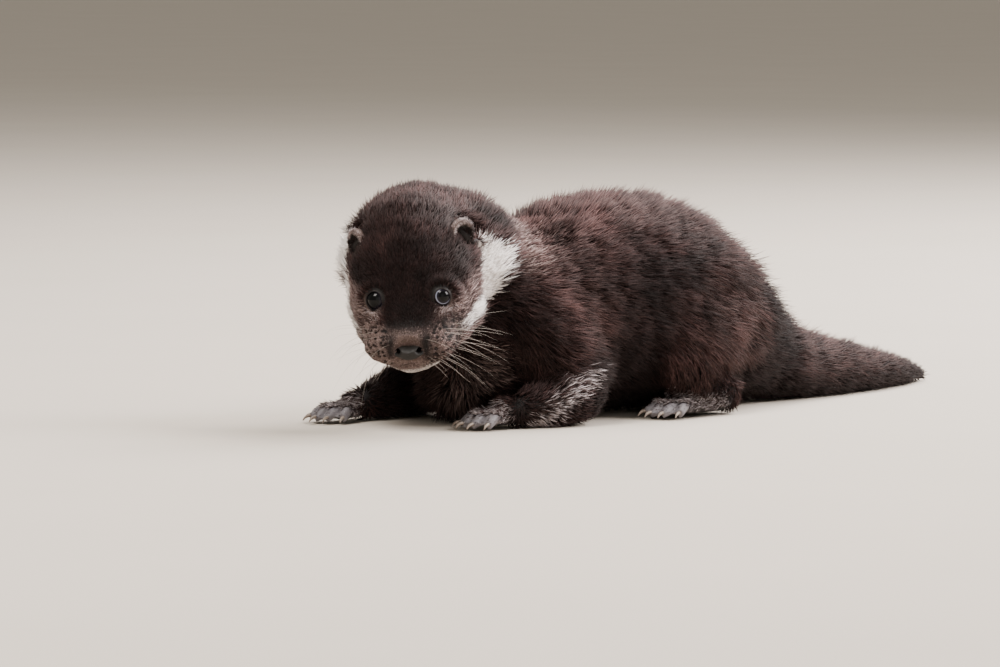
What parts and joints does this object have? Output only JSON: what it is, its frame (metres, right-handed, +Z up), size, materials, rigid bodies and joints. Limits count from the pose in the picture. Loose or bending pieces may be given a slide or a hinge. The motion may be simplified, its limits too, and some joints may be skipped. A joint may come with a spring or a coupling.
{
  "type": "otter cub",
  "caption": "Young river otter crouching low on its forearms and belly, head turned to its left, thick tail trailing on the floor.",
  "frame": {"origin": "middle of the part's footprint, on the floor", "axes": "+X from the head to the tail, +Z up, the cub's left side faces -Y"},
  "size_m": [0.4214, 0.127, 0.1234],
  "materials": {
    "coat": "dense dark brown fur",
    "foot_skin": "wrinkled grey skin with short fur",
    "nose_leather": "damp dark grey",
    "eye": "wet, dark brown",
    "claw_horn": "smooth horn"
  },
  "bodies": {
    "root": {"trunk": "coat", "neck": "coat", "head": "coat", "lower_jaw": "coat", "nose": "nose_leather", "ear_left": "coat", "ear_right": "coat", "eye_left": "eye", "eye_right": "eye", "tail_base": "coat", "tail_tip": "coat", "foreleg_left": "coat", "foreleg_right": "coat", "forepaw_left": "foot_skin", "forepaw_right": "foot_skin", "hindleg_left": "coat", "hindleg_right": "coat", "hindfoot_left": "foot_skin", "hindfoot_right": "foot_skin", "claw_fore_left_1": "claw_horn", "claw_fore_left_2": "claw_horn", "claw_fore_left_3": "claw_horn", "claw_fore_left_4": "claw_horn", "claw_fore_left_5": "claw_horn", "claw_fore_right_1": "claw_horn", "claw_fore_right_2": "claw_horn", "claw_fore_right_3": "claw_horn", "claw_fore_right_4": "claw_horn", "claw_fore_right_5": "claw_horn", "claw_hind_left_1": "claw_horn", "claw_hind_left_2": "claw_horn", "claw_hind_left_3": "claw_horn", "claw_hind_left_4": "claw_horn", "claw_hind_left_5": "claw_horn", "claw_hind_right_1": "claw_horn", "claw_hind_right_2": "claw_horn", "claw_hind_right_3": "claw_horn", "claw_hind_right_4": "claw_horn", "claw_hind_right_5": "claw_horn"}
  },
  "joints": []
}
